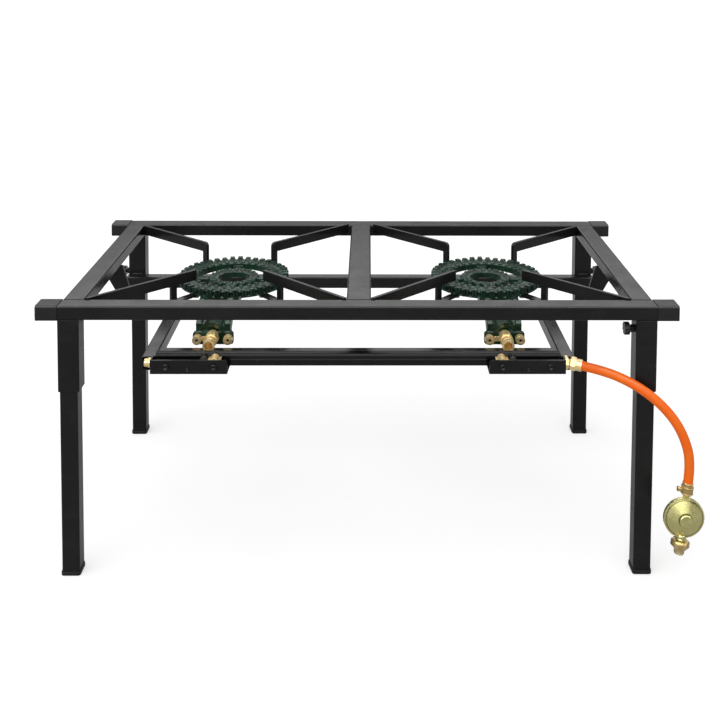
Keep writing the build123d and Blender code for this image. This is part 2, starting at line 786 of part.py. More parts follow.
# Ferrule, two crimp grooves
ferrule_l = (Vector(*hose_start) - nut_face).length - union_gap - union_l
with BuildPart() as hose_ferrule:
    with BuildSketch(Plane(origin=nut_face + lean * (union_gap + union_l), z_dir=lean)):
        Circle(ferrule_d / 2)
    extrude(amount=ferrule_l)
    for share in (1 / 3, 2 / 3):
        ring_at = union_gap + union_l + ferrule_l * share - ferrule_groove_l / 2
        with BuildSketch(Plane(origin=nut_face + lean * ring_at, z_dir=lean)):
            Circle(ferrule_d / 2)
            Circle(ferrule_groove_d / 2, mode=Mode.SUBTRACT)
        extrude(amount=ferrule_groove_l, mode=Mode.SUBTRACT)
hose_ferrule.part.label = "hose_ferrule"
export_step(hose_ferrule.part, "parts/hose_ferrule.step")

# Hose
reg_up = Vector(sin(radians(reg_lean)), 0, cos(radians(reg_lean)))
first_corner = Vector(*hose_start) + lean * hose_first_run
last_corner = Vector(*hose_end) + reg_up * hose_last_run
middle = [Vector(*p) for p in hose_mid]
route = [Vector(*hose_start), first_corner] + middle + [last_corner, Vector(*hose_end)]
runs = [(b - a).length for a, b in zip(route, route[1:])]
radii = []
for i in range(1, len(route) - 1):
    before = (route[i] - route[i - 1]).normalized()
    after = (route[i + 1] - route[i]).normalized()
    half_turn = acos(before.dot(after)) / 2
    radii.append(corner_share * min(runs[i - 1], runs[i]) / tan(half_turn))
with BuildPart() as gas_hose:
    with BuildLine() as hose_line:
        FilletPolyline(*route, radius=radii)
    with BuildSketch(Plane(origin=hose_line.line @ 0, z_dir=hose_line.line % 0)):
        Circle(hose_d / 2)
    sweep()
gas_hose.part.label = "gas_hose"
export_step(gas_hose.part, "parts/gas_hose.step")
section = pi * (hose_d / 2) ** 2
hose_len = sum(e.length for e in hose_line.edges())
print("hose radii", [round(r, 1) for r in radii], "runs", [round(r, 1) for r in runs])
print("hose route", [[round(c, 2) for c in p] for p in route])
print("hose length", round(hose_len, 1))
print("hose volume / section x length", round(gas_hose.part.volume / (section * hose_len), 4))

# Hose tail sleeve with its clamp and side screw
reg_top = Vector(*hose_end)
with BuildPart() as regulator_hose_tail:
    with BuildSketch(Plane(origin=reg_top, z_dir=-reg_up)):
        Circle(tail_d / 2)
    extrude(amount=tail_l)
    with BuildSketch(Plane(origin=reg_top - reg_up * clamp_from, z_dir=-reg_up)):
        Circle(clamp_d / 2)
    extrude(amount=clamp_l)
    screw_from = reg_top - reg_up * (clamp_from + clamp_l / 2)
    screw_way = Vector(0, -1, 0).cross(reg_up).normalized()
    screw_way = screw_way if screw_way.X < 0 else -screw_way
    with BuildSketch(Plane(origin=screw_from, z_dir=screw_way)):
        Circle(clamp_screw_d / 2)
    extrude(amount=clamp_screw_l)
    with BuildSketch(Plane(origin=screw_from + screw_way * clamp_screw_l, z_dir=screw_way)):
        Circle(clamp_head_d / 2)
    extrude(amount=-clamp_head_l)
regulator_hose_tail.part.label = "regulator_hose_tail"
export_step(regulator_hose_tail.part, "parts/regulator_hose_tail.step")

# Regulator body: rear can, upper neck, lower neck and the stub inside the swivel nut
reg_mid = reg_top - reg_up * reg_centre
front = Vector(0, -1, 0)
with BuildPart() as regulator_body:
    with BuildSketch(Plane(origin=reg_mid, z_dir=-front)):
        Circle(body_r)
    extrude(amount=body_back, taper=20)
    with BuildSketch(Plane(origin=reg_mid - front * rim_back_t, z_dir=-front)):
        Circle(rim_r)
    extrude(amount=-rim_back_t)
    with BuildSketch(Plane(origin=reg_top - reg_up * tail_l, z_dir=-reg_up)):
        Circle(neck_top_d / 2)
    extrude(amount=reg_centre - tail_l - body_r / 2)
    with BuildSketch(Plane(origin=reg_mid - reg_up * body_r / 2, z_dir=-reg_up)):
        Circle(foot_neck_d / 2)
    extrude(amount=swivel_from - reg_centre - body_r / 2)
    with BuildSketch(Plane(origin=reg_top - reg_up * swivel_from, z_dir=-reg_up)):
        Circle(stub_d / 2)
    extrude(amount=swivel_t)
    with BuildSketch(Plane(origin=reg_mid, z_dir=front)):
        Rectangle(4 * rim_r, 4 * rim_r)
    extrude(amount=rim_r, mode=Mode.SUBTRACT)
regulator_body.part.label = "regulator_body"
export_step(regulator_body.part, "parts/regulator_body.step")

# Regulator cover: crimped rim and cone, with a small rivet low on the cone
with BuildPart() as regulator_cover:
    with BuildSketch(Plane(origin=reg_mid, z_dir=front)):
        Circle(rim_r)
    extrude(amount=rim_t)
    with BuildSketch(Plane(origin=reg_mid + front * rim_t, z_dir=front)):
        Circle(rim_r - rim_back_t)
    with BuildSketch(Plane(origin=reg_mid + front * (rim_t + cone_h), z_dir=front)):
        Circle(cone_top_r)
    loft()
    rivet_z = rim_t + cone_h * (rim_r - rim_back_t - rivet_at) / (rim_r - rim_back_t - cone_top_r)
    with BuildSketch(Plane(origin=reg_mid - reg_up * rivet_at, z_dir=front)):
        Circle(rivet_d / 2)
    extrude(amount=rivet_z + rivet_t)
regulator_cover.part.label = "regulator_cover"
export_step(regulator_cover.part, "parts/regulator_cover.step")

# Round cap on the cone
with BuildPart() as regulator_cap:
    with BuildSketch(Plane(origin=reg_mid + front * (rim_t + cone_h), z_dir=front)):
        Circle(hub_d / 2)
    extrude(amount=hub_cap_t)
    chamfer(regulator_cap.faces().sort_by(Axis.Y)[0].edges(), hub_chamfer)
regulator_cap.part.label = "regulator_cap"
export_step(regulator_cap.part, "parts/regulator_cap.step")

# Swivel nut with its male threaded end
swivel_top = reg_top - reg_up * (swivel_from + swivel_gap)
with BuildPart() as inlet_nut:
    with BuildSketch(Plane(origin=swivel_top, z_dir=-reg_up)):
        RegularPolygon(swivel_af / 2, 6, major_radius=False)
    extrude(amount=swivel_t)
    chamfer(inlet_nut.faces().sort_by(Axis(swivel_top, -reg_up))[0].edges(), swivel_chamfer)
    with BuildSketch(Plane(origin=swivel_top - reg_up * swivel_t, z_dir=-reg_up)):
        Circle(male_d / 2)
    extrude(amount=male_l)
    for i in range(male_grooves):
        groove_at = swivel_t + male_l * (i + 0.7) / (male_grooves + 0.7)
        with BuildSketch(Plane(origin=swivel_top - reg_up * groove_at, z_dir=-reg_up)):
            Circle(male_d / 2)
            Circle(male_root_d / 2, mode=Mode.SUBTRACT)
        extrude(amount=male_groove_l, mode=Mode.SUBTRACT)
    with BuildSketch(Plane(origin=swivel_top, z_dir=-reg_up)):
        Circle(stub_d / 2 + stub_fit)
    extrude(amount=swivel_t, mode=Mode.SUBTRACT)
    with BuildSketch(Plane(origin=swivel_top, z_dir=-reg_up)):
        Circle(male_bore_d / 2)
    extrude(amount=swivel_t + male_l, mode=Mode.SUBTRACT)
inlet_nut.part.label = "inlet_nut"
export_step(inlet_nut.part, "parts/inlet_nut.step")
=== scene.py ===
import json
import math
import random

import bmesh
import bpy
from mathutils import Matrix, Vector, noise


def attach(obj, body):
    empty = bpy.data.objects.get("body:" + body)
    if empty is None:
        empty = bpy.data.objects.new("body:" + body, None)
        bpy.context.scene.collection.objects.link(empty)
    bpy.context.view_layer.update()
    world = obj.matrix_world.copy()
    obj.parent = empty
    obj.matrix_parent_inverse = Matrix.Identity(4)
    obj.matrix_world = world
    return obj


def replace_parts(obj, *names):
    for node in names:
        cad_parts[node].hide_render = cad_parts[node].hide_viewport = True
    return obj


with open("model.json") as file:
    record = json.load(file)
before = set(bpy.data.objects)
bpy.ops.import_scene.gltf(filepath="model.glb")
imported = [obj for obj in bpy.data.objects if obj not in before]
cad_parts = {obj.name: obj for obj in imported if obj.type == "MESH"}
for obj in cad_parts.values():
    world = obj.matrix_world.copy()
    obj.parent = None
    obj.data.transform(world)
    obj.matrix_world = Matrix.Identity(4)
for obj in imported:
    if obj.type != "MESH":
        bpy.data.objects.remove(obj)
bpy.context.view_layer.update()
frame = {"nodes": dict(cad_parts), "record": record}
nodes = frame["nodes"]

# Camera: the photograph's frame is 720 px square
PHOTO_PX = 720
FOCAL_PX = 1006.1
AXIS_PX = (382.1, 14.5)
CAMERA_AT = (0.0121, -1.6009, 0.8843)
PITCH = math.radians(3.56)
YAW = math.radians(0.77)
ROLL = math.radians(-0.315)
SENSOR = 36.0

# Route of the hose, the same points as the part's, and its size
HOSE_ROUTE = (
    (0.3203, -0.1962, 0.2936),
    (0.3523, -0.20814, 0.29045),
    (0.3834, -0.2330, 0.2842),
    (0.4096, -0.2480, 0.2701),
    (0.4327, -0.2570, 0.2482),
    (0.4482, -0.2620, 0.2224),
    (0.45774, -0.2650, 0.18844),
    (0.4546, -0.2650, 0.1586),
)
HOSE_D = 0.0133

# Regulator, which hangs from the hose's lower end
REG_LEAN = math.radians(6.0)
REG_DOWN = Vector((-math.sin(REG_LEAN), 0.0, -math.cos(REG_LEAN)))
REG_FACING = Vector((0.0, -1.0, 0.0))
REG_CENTRE = Vector(HOSE_ROUTE[-1]) + REG_DOWN * 0.0498

# Burner, as in the part
BURNER_X = 0.20375
NECK_X = 0.219
RING_R = 0.0882
RING_LOW = 0.3522
RING_TOP = 0.362
NUB_TOP = 0.3657
NUBS = 40
HUB_R = 0.0388
NUB_GAP = 0.0011

# Where a tap's brass block ends, and the distance at which vertices count as one
TAP_CUT = 0.2160
MERGE = 1e-6

# Studio
FLOOR_HALF = 30.0
FLOOR_TONE = 0.62
FLOOR_GLOW = 0.54
SUN_AT = (-0.7, -1.1, 2.0)
SUN_LIGHT = 1.7
SUN_SPREAD = math.radians(80.0)
WORLD_LIGHT = 0.60
LOW_GLOSS = 0.04
HIGH_GLOSS = 2.2
GLOSS_RISE = (0.274, 0.297)
BACKDROP = 1.25


def camera():
    """The photograph's camera, with the lens shift that puts its axis near the top edge."""
    forward = Vector((math.sin(YAW) * math.cos(PITCH), math.cos(YAW) * math.cos(PITCH), -math.sin(PITCH)))
    level = Vector((math.cos(YAW), -math.sin(YAW), 0.0))
    down = forward.cross(level)
    right = level * math.cos(ROLL) + down * math.sin(ROLL)
    up = level * math.sin(ROLL) - down * math.cos(ROLL)
    data = bpy.data.cameras.new("photo_camera")
    data.sensor_width = SENSOR
    data.sensor_fit = "HORIZONTAL"
    data.lens = FOCAL_PX / PHOTO_PX * SENSOR
    data.shift_x = (PHOTO_PX / 2 - AXIS_PX[0]) / PHOTO_PX
    data.shift_y = (AXIS_PX[1] - PHOTO_PX / 2) / PHOTO_PX
    data.clip_end = 200.0
    obj = bpy.data.objects.new("photo_camera", data)
    bpy.context.scene.collection.objects.link(obj)
    obj.matrix_world = Matrix.Translation(CAMERA_AT) @ Matrix((right, up, -forward)).transposed().to_4x4()
    bpy.context.scene.camera = obj


def aim(obj, target):
    """Turns a lamp towards a point."""
    way = Vector(target) - obj.location
    obj.rotation_euler = way.to_track_quat("-Z", "Y").to_euler()


def softbox(name, at, target, size, brightness):
    """A soft rectangular panel that only shows as a highlight, so it doesn't wash out the floor."""
    data = bpy.data.lights.new(name, "AREA")
    data.shape = "RECTANGLE"
    data.size = size[0]
    data.size_y = size[1]
    data.energy = math.pi * size[0] * size[1] * brightness
    obj = bpy.data.objects.new(name, data)
    obj.location = at
    obj.visible_camera = False
    obj.visible_diffuse = False
    aim(obj, target)
    bpy.context.scene.collection.objects.link(obj)


def soft_sun():
    """One wide sun from above, even over the whole floor."""
    data = bpy.data.lights.new("soft_sun", "SUN")
    data.energy = SUN_LIGHT
    data.angle = SUN_SPREAD
    obj = bpy.data.objects.new("soft_sun", data)
    obj.location = SUN_AT
    aim(obj, (0.0, 0.0, 0.0))
    bpy.context.scene.collection.objects.link(obj)


def studio():
    """White world for the background, soft lamps, and a pale floor that keeps the shadows."""
    scene = bpy.context.scene
    scene.view_settings.view_transform = "Standard"
    world = bpy.data.worlds.new("studio")
    world.use_nodes = True
    scene.world = world
    tree = world.node_tree
    tree.nodes.clear()
    out = tree.nodes.new("ShaderNodeOutputWorld")
    background = tree.nodes.new("ShaderNodeBackground")
    rays = tree.nodes.new("ShaderNodeLightPath")
    coords = tree.nodes.new("ShaderNodeTexCoord")
    split = tree.nodes.new("ShaderNodeSeparateXYZ")
    height = tree.nodes.new("ShaderNodeMapRange")
    limits = (*GLOSS_RISE, LOW_GLOSS, HIGH_GLOSS)
    for socket, value in zip(("From Min", "From Max", "To Min", "To Max"), limits):
        height.inputs[socket].default_value = value
    light = tree.nodes.new("ShaderNodeMix")
    light.inputs["A"].default_value = WORLD_LIGHT
    shown = tree.nodes.new("ShaderNodeMix")
    shown.inputs["B"].default_value = BACKDROP
    tree.links.new(coords.outputs["Generated"], split.inputs[0])
    tree.links.new(split.outputs["Z"], height.inputs["Value"])
    tree.links.new(rays.outputs["Is Glossy Ray"], light.inputs["Factor"])
    tree.links.new(height.outputs["Result"], light.inputs["B"])
    tree.links.new(light.outputs["Result"], shown.inputs["A"])
    tree.links.new(rays.outputs["Is Camera Ray"], shown.inputs["Factor"])
    tree.links.new(shown.outputs["Result"], background.inputs["Strength"])
    tree.links.new(background.outputs[0], out.inputs["Surface"])

    soft_sun()
    softbox("top_panel", (0.0, -0.75, 2.3), (0.0, 0.0, 0.3), (2.6, 0.6), 11.0)
    softbox("front_panel", (0.0, -2.4, 0.72), (0.0, 0.0, 0.3), (2.6, 0.5), 2.6)
    softbox("left_panel", (-1.5, -1.7, 1.3), (0.0, 0.0, 0.25), (0.5, 0.9), 6.0)
    softbox("right_panel", (1.7, -0.9, 0.9), (0.3, 0.0, 0.25), (0.25, 1.0), 4.0)

    mesh = bpy.data.meshes.new("studio_floor")
    corners = [(x * FLOOR_HALF, y * FLOOR_HALF, 0.0) for x, y in ((-1, -1), (1, -1), (1, 1), (-1, 1))]
    mesh.from_pydata(corners, [], [(0, 1, 2, 3)])
    floor = bpy.data.objects.new("studio_floor", mesh)
    scene.collection.objects.link(floor)
    paint = bpy.data.materials.new("studio_floor")
    paint.use_nodes = True
    nodes_in = paint.node_tree.nodes
    links = paint.node_tree.links
    nodes_in.clear()
    out = nodes_in.new("ShaderNodeOutputMaterial")
    matte = nodes_in.new("ShaderNodeBsdfDiffuse")
    matte.inputs["Color"].default_value = (FLOOR_TONE, FLOOR_TONE, FLOOR_TONE, 1.0)
    glow = nodes_in.new("ShaderNodeEmission")
    rays = nodes_in.new("ShaderNodeLightPath")
    strength = nodes_in.new("ShaderNodeMath")
    strength.operation = "MULTIPLY"
    strength.inputs[1].default_value = FLOOR_GLOW
    add = nodes_in.new("ShaderNodeAddShader")
    links.new(rays.outputs["Is Camera Ray"], strength.inputs[0])
    links.new(strength.outputs[0], glow.inputs["Strength"])
    links.new(matte.outputs[0], add.inputs[0])
    links.new(glow.outputs[0], add.inputs[1])
    links.new(add.outputs[0], out.inputs["Surface"])
    mesh.materials.append(paint)


class Finish:
    """A node material built from one shader, with noise fields in real metres."""

    def __init__(self, name, color, metallic=0.0, roughness=0.5, specular=0.5):
        self.material = bpy.data.materials.new(name)
        self.material.use_nodes = True
        self.tree = self.material.node_tree
        self.shader = self.tree.nodes["Principled BSDF"]
        self.shader.inputs["Base Color"].default_value = (*color, 1.0)
        self.shader.inputs["Metallic"].default_value = metallic
        self.shader.inputs["Roughness"].default_value = roughness
        self.shader.inputs["Specular IOR Level"].default_value = specular
        self.material.diffuse_color = (*color, 1.0)
        self.coords = self.tree.nodes.new("ShaderNodeTexCoord")
        self.normal = None

    def link(self, source, target):
        self.tree.links.new(source, target)

    def noise(self, scale, detail=3.0, stretch=(1, 1, 1)):
        """A noise field, scale in cycles per metre."""
        mapping = self.tree.nodes.new("ShaderNodeMapping")
        mapping.inputs["Scale"].default_value = stretch
        field = self.tree.nodes.new("ShaderNodeTexNoise")
        field.inputs["Scale"].default_value = scale
        field.inputs["Detail"].default_value = detail
        field.inputs["Roughness"].default_value = 0.55
        self.link(self.coords.outputs["Object"], mapping.inputs["Vector"])
        self.link(mapping.outputs[0], field.inputs["Vector"])
        return field.outputs["Fac"]

    def ramp(self, field, low, high, to_low=0.0, to_high=1.0):
        """Maps a field's range low..high to new values, with its ends held."""
        node = self.tree.nodes.new("ShaderNodeMapRange")
        node.inputs["From Min"].default_value = low
        node.inputs["From Max"].default_value = high
        node.inputs["To Min"].default_value = to_low
        node.inputs["To Max"].default_value = to_high
        self.link(field, node.inputs["Value"])
        return node.outputs["Result"]

    def edges(self, radius, low=0.02, high=0.25):
        """1 on sharp outer and inner edges, 0 on flats."""
        bevel = self.tree.nodes.new("ShaderNodeBevel")
        bevel.samples = 4
        bevel.inputs["Radius"].default_value = radius
        flat = self.tree.nodes.new("ShaderNodeNewGeometry")
        dot = self.tree.nodes.new("ShaderNodeVectorMath")
        dot.operation = "DOT_PRODUCT"
        self.link(bevel.outputs[0], dot.inputs[0])
        self.link(flat.outputs["True Normal"], dot.inputs[1])
        return self.ramp(dot.outputs["Value"], 1.0 - low, 1.0 - high)

    def mix_color(self, factor, first, second):
        """Blends two colours, each a tuple or a socket."""
        node = self.tree.nodes.new("ShaderNodeMix")
        node.data_type = "RGBA"
        for name, value in (("A", first), ("B", second)):
            socket = [s for s in node.inputs if s.name == name and s.type == "RGBA"][0]
            if isinstance(value, tuple):
                socket.default_value = (*value, 1.0)
            else:
                self.link(value, socket)
        factor_in = [s for s in node.inputs if s.name == "Factor" and s.type == "VALUE"][0]
        self.link(factor, factor_in)
        return [s for s in node.outputs if s.type == "RGBA"][0]

    def color(self, socket):
        self.link(socket, self.shader.inputs["Base Color"])

    def rough(self, socket):
        self.link(socket, self.shader.inputs["Roughness"])

    def times(self, first, second):
        node = self.tree.nodes.new("ShaderNodeMath")
        node.operation = "MULTIPLY"
        self.link(first, node.inputs[0])
        if isinstance(second, float):
            node.inputs[1].default_value = second
        else:
            self.link(second, node.inputs[1])
        return node.outputs[0]

    def vector(self, operation, socket, value):
        """Vector maths between a socket and a fixed vector."""
        node = self.tree.nodes.new("ShaderNodeVectorMath")
        node.operation = operation
        self.link(socket, node.inputs[0])
        node.inputs[1].default_value = value
        return node.outputs["Value"] if operation == "DOT_PRODUCT" else node.outputs[0]

    def round_edges(self, radius):
        """Softens the shading of sharp edges."""
        bevel = self.tree.nodes.new("ShaderNodeBevel")
        bevel.samples = 4
        bevel.inputs["Radius"].default_value = radius
        self.link(bevel.outputs[0], self.shader.inputs["Normal"])
        self.normal = bevel.outputs[0]

    def bump(self, field, depth, strength=1.0):
        """Adds a bump of that depth in metres over what is there."""
        node = self.tree.nodes.new("ShaderNodeBump")
        node.inputs["Strength"].default_value = strength
        node.inputs["Distance"].default_value = depth
        self.link(field, node.inputs["Height"])
        if self.normal is not None:
            self.link(self.normal, node.inputs["Normal"])
        self.link(node.outputs[0], self.shader.inputs["Normal"])
        self.normal = node.outputs[0]


def powder_black():
    """Satin black powder coat: fine orange peel, faint dust, edges painted paler as rubbed wear and a painted
    highlight.
    """
    f = Finish("frame_black", (0.009, 0.009, 0.0095), roughness=0.32, specular=0.20)
    f.round_edges(0.0008)
    f.bump(f.noise(620.0, 2.0), 0.00007, 0.5)
    patch = f.ramp(f.noise(9.0, 4.0), 0.35, 0.7)
    speck = f.ramp(f.noise(900.0, 2.0), 0.66, 0.74)
    streak = f.ramp(f.noise(30.0, 5.0, (1.0, 0.35, 2.5)), 0.52, 0.75)
    base = f.mix_color(patch, (0.0070, 0.0070, 0.0075), (0.0115, 0.0115, 0.012))
    base = f.mix_color(f.times(streak, 0.30), base, (0.020, 0.020, 0.021))
    # edges painted paler: partly rubbed wear, partly a painted highlight along the tube edges
    worn_and_highlit = f.times(f.edges(0.0010), f.ramp(f.noise(70.0, 3.0), 0.36, 0.60))
    dusty = f.mix_color(f.times(speck, 0.14), base, (0.06, 0.06, 0.06))
    f.color(f.mix_color(f.times(worn_and_highlit, 0.55), dusty, (0.085, 0.085, 0.09)))
    f.rough(f.ramp(f.noise(26.0, 4.0), 0.3, 0.7, 0.16, 0.28))
    return f.material


def moulded_black(name, tone, roughness):
    """Black moulded plastic, slightly grained, with a painted highlight on its edges."""
    f = Finish(name, (tone, tone, tone * 1.05), roughness=roughness, specular=0.24)
    f.round_edges(0.0006)
    f.bump(f.noise(1400.0, 2.0), 0.00005, 0.4)
    base = f.mix_color(f.ramp(f.noise(40.0, 3.0), 0.35, 0.7), (tone * 0.8,) * 3, (tone * 1.3,) * 3)
    # painted highlight: the edges are painted paler than the plastic
    f.color(f.mix_color(f.times(f.edges(0.0008), 0.5), base, (tone * 3.6,) * 3))
    f.rough(f.ramp(f.noise(90.0, 3.0), 0.3, 0.7, roughness - 0.06, roughness + 0.08))
    return f.material


def green_casting():
    """Dark green enamel over a sand casting: grainy, paler on every raised edge as rubbed wear and a painted
    highlight, and near black in its hollows as painted shade.
    """
    f = Finish("cast_green", (0.009, 0.034, 0.019), roughness=0.25, specular=0.17)
    f.bump(f.noise(420.0, 4.0), 0.0005, 0.6)
    f.bump(f.noise(1500.0, 3.0), 0.00014, 0.5)
    tint = f.ramp(f.noise(60.0, 4.0), 0.35, 0.68)
    base = f.mix_color(tint, (0.0035, 0.016, 0.0085), (0.013, 0.050, 0.028))
    grit = f.ramp(f.noise(700.0, 3.0), 0.56, 0.70)
    grey = f.mix_color(f.times(grit, 0.14), base, (0.05, 0.10, 0.07))
    ridges = f.tree.nodes.new("ShaderNodeNewGeometry").outputs["Pointiness"]
    # raised ridges painted paler grey-green: partly rubbed wear, partly a painted highlight
    rubbed_and_highlit = f.times(f.ramp(ridges, 0.53, 0.62), f.ramp(f.noise(240.0, 3.0), 0.34, 0.60))
    worn_and_highlit = f.mix_color(f.times(rubbed_and_highlit, 0.55), grey, (0.11, 0.19, 0.14))
    # painted shade: the hollows between the nubs, where pointiness is low, are painted near black
    f.color(f.mix_color(f.ramp(ridges, 0.42, 0.495, 0.9, 0.0), worn_and_highlit, (0.0006, 0.0016, 0.001)))
    f.rough(f.ramp(f.noise(180.0, 4.0), 0.3, 0.7, 0.13, 0.32))
    return f.material


def machined_brass():
    """Yellow brass with faint turning marks, handling stains, a painted highlight on its edges and painted shade on
    its lower fittings.
    """
    f = Finish("brass", (0.95, 0.73, 0.38), metallic=0.62, roughness=0.30, specular=0.3)
    f.round_edges(0.0006)
    f.bump(f.noise(1500.0, 2.0, (1.0, 6.0, 1.0)), 0.00003, 0.4)
    tint = f.ramp(f.noise(85.0, 4.0), 0.35, 0.70)
    base = f.mix_color(tint, (1.0, 0.80, 0.44), (0.90, 0.66, 0.30))
    # painted shade: brass lower than about 0.19 m is painted a darker brown than the brass above it
    place = f.tree.nodes.new("ShaderNodeSeparateXYZ")
    f.link(f.coords.outputs["Object"], place.inputs[0])
    base = f.mix_color(f.ramp(place.outputs["Z"], 0.185, 0.205, 0.85, 0.0), base, (0.34, 0.235, 0.075))
    stain = f.ramp(f.noise(260.0, 4.0), 0.62, 0.76)
    dull = f.mix_color(f.times(stain, 0.40), base, (0.30, 0.17, 0.06))
    # painted highlight: the edges are painted a pale brass
    f.color(f.mix_color(f.times(f.edges(0.0007), 0.6), dull, (0.95, 0.78, 0.46)))
    f.rough(f.ramp(f.noise(190.0, 4.0), 0.3, 0.7, 0.22, 0.38))
    return f.material


def zinc_steel():
    """Zinc plated small steel."""
    f = Finish("steel", (0.42, 0.42, 0.43), metallic=1.0, roughness=0.36)
    f.round_edges(0.0004)
    f.bump(f.noise(900.0, 3.0), 0.00006, 0.4)
    f.color(f.mix_color(f.ramp(f.noise(120.0, 3.0), 0.35, 0.7), (0.46, 0.46, 0.47), (0.30, 0.29, 0.28)))
    f.rough(f.ramp(f.noise(200.0, 3.0), 0.3, 0.7, 0.28, 0.46))
    return f.material


def orange_hose():
    """Vivid orange hose, smooth skin with faint scuffs and mould drag lines."""
    f = Finish("hose_orange", (1.0, 0.165, 0.006), roughness=0.36, specular=0.20)
    f.bump(f.noise(420.0, 3.0), 0.00010, 0.35)
    base = f.mix_color(f.ramp(f.noise(28.0, 3.0), 0.35, 0.7), (0.97, 0.145, 0.004), (1.0, 0.185, 0.009))
    scuff = f.ramp(f.noise(240.0, 4.0, (1.0, 1.0, 4.0)), 0.63, 0.74)
    f.color(f.mix_color(f.times(scuff, 0.20), base, (0.85, 0.28, 0.09)))
    f.rough(f.ramp(f.noise(75.0, 4.0), 0.3, 0.7, 0.28, 0.44))
    return f.material


def regulator_gold(centre, facing):
    """Olive gold passivated pressing, turned in fine rings round its own axis, with painted shade at its cap's edge
    and rim and a painted highlight on its edges.
    """
    f = Finish("regulator_gold", (0.50, 0.46, 0.17), metallic=0.92, roughness=0.30)
    f.round_edges(0.0007)
    grain = f.tree.nodes.new("ShaderNodeTangent")
    grain.direction_type = "RADIAL"
    grain.axis = "Y"
    f.link(grain.outputs[0], f.shader.inputs["Tangent"])
    f.shader.inputs["Anisotropic"].default_value = 0.75
    from_centre = f.vector("SUBTRACT", f.coords.outputs["Object"], centre)
    along = f.vector("DOT_PRODUCT", from_centre, facing)
    on_axis = f.tree.nodes.new("ShaderNodeVectorMath")
    on_axis.operation = "SCALE"
    on_axis.inputs[0].default_value = facing
    f.link(along, on_axis.inputs["Scale"])
    across = f.tree.nodes.new("ShaderNodeVectorMath")
    across.operation = "SUBTRACT"
    f.link(from_centre, across.inputs[0])
    f.link(on_axis.outputs[0], across.inputs[1])
    reach = f.tree.nodes.new("ShaderNodeVectorMath")
    reach.operation = "LENGTH"
    f.link(across.outputs[0], reach.inputs[0])
    rings = f.tree.nodes.new("ShaderNodeMath")
    rings.operation = "SINE"
    f.link(f.times(reach.outputs["Value"], 5200.0), rings.inputs[0])
    f.bump(rings.outputs[0], 0.000018, 0.8)
    base = f.mix_color(f.ramp(f.noise(45.0, 4.0), 0.35, 0.7), (0.44, 0.41, 0.16), (0.55, 0.51, 0.22))
    base = f.mix_color(f.ramp(rings.outputs[0], -1.0, 1.0, 0.0, 0.35), base, (0.72, 0.68, 0.34))
    # painted shade: dark bands at the cap's edge and at the rim, where the steps lie in shade
    for radius, half_width in ((0.0094, 0.0007), (0.0252, 0.0010)):
        off = f.tree.nodes.new("ShaderNodeMath")
        off.operation = "SUBTRACT"
        off.inputs[1].default_value = radius
        f.link(reach.outputs["Value"], off.inputs[0])
        gap = f.tree.nodes.new("ShaderNodeMath")
        gap.operation = "ABSOLUTE"
        f.link(off.outputs[0], gap.inputs[0])
        groove_shade = f.ramp(gap.outputs[0], half_width * 0.4, half_width, 0.8, 0.0)
        base = f.mix_color(groove_shade, base, (0.11, 0.09, 0.03))
    stain = f.ramp(f.noise(110.0, 3.0), 0.60, 0.80)
    dull = f.mix_color(f.times(stain, 0.22), base, (0.34, 0.29, 0.11))
    # painted highlight: the edges are painted a pale gold
    f.color(f.mix_color(f.times(f.edges(0.0009), 0.5), dull, (0.85, 0.81, 0.50)))
    f.rough(f.ramp(f.noise(150.0, 4.0), 0.3, 0.7, 0.20, 0.34))
    return f.material


def add_piece(name, work, material, body="frame"):
    """Turns a bmesh into a piece that rides on a body, with smooth shading below 40 degrees."""
    limit = math.radians(40.0)
    for face in work.faces:
        face.smooth = True
    for edge in work.edges:
        edge.smooth = len(edge.link_faces) == 2 and edge.calc_face_angle(0.0) < limit
    mesh = bpy.data.meshes.new(name)
    work.to_mesh(mesh)
    work.free()
    mesh.materials.append(material)
    obj = bpy.data.objects.new(name, mesh)
    bpy.context.scene.collection.objects.link(obj)
    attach(obj, body)
    return obj


def circle(work, middle, side, across, radius, count):
    """Adds a circle of vertices in the plane of two directions."""
    turns = [2 * math.pi * i / count for i in range(count)]
    return [work.verts.new(middle + (side * math.cos(t) + across * math.sin(t)) * radius) for t in turns]


def band(work, low, high):
    """Adds the faces between two circles."""
    for i in range(len(low)):
        j = (i + 1) % len(low)
        work.faces.new((low[i], low[j], high[j], high[i]))


def turned(work, profile, origin, axis, segments=28):
    """Adds a turned form: pairs of radius and height up an axis, closed at radius 0 or into a ring."""
    up = Vector(axis).normalized()
    side = up.orthogonal().normalized()
    across = up.cross(side)
    rings = []
    for radius, height in profile:
        middle = Vector(origin) + up * height
        if radius == 0.0:
            rings.append([work.verts.new(middle)])
        else:
            rings.append(circle(work, middle, side, across, radius, segments))
    if len(rings[0]) > 1:
        rings.append(rings[0])
    for low, high in zip(rings, rings[1:]):
        if len(low) > 1 and len(high) > 1:
            band(work, low, high)
            continue
        for i in range(segments):
            j = (i + 1) % segments
            if len(low) == 1:
                work.faces.new((low[0], high[j], high[i]))
            else:
                work.faces.new((low[i], low[j], high[0]))


def weld(work, start, end, radius, draw):
    """Adds a weld bead: overlapping ripples along a line, half sunk in the corner it fills."""
    start, end = Vector(start), Vector(end)
    run = end - start
    way = run.normalized()
    side = way.orthogonal().normalized()
    across = way.cross(side)
    pitch = radius * 0.9
    steps = max(8, int(run.length / pitch * 5))
    sections = []
    for step in range(steps + 1):
        share = step / steps
        ripple = abs(math.sin(math.pi * share * run.length / pitch))
        taper = min(1.0, 0.25 + 4.0 * min(share, 1.0 - share))
        size = radius * taper * (0.80 + 0.22 * ripple + draw.uniform(-0.05, 0.05))
        sections.append(circle(work, start + run * share, side, across, size, 10))
    for low, high in zip(sections, sections[1:]):
        band(work, low, high)
    work.faces.new(list(reversed(sections[0])))
    work.faces.new(sections[-1])


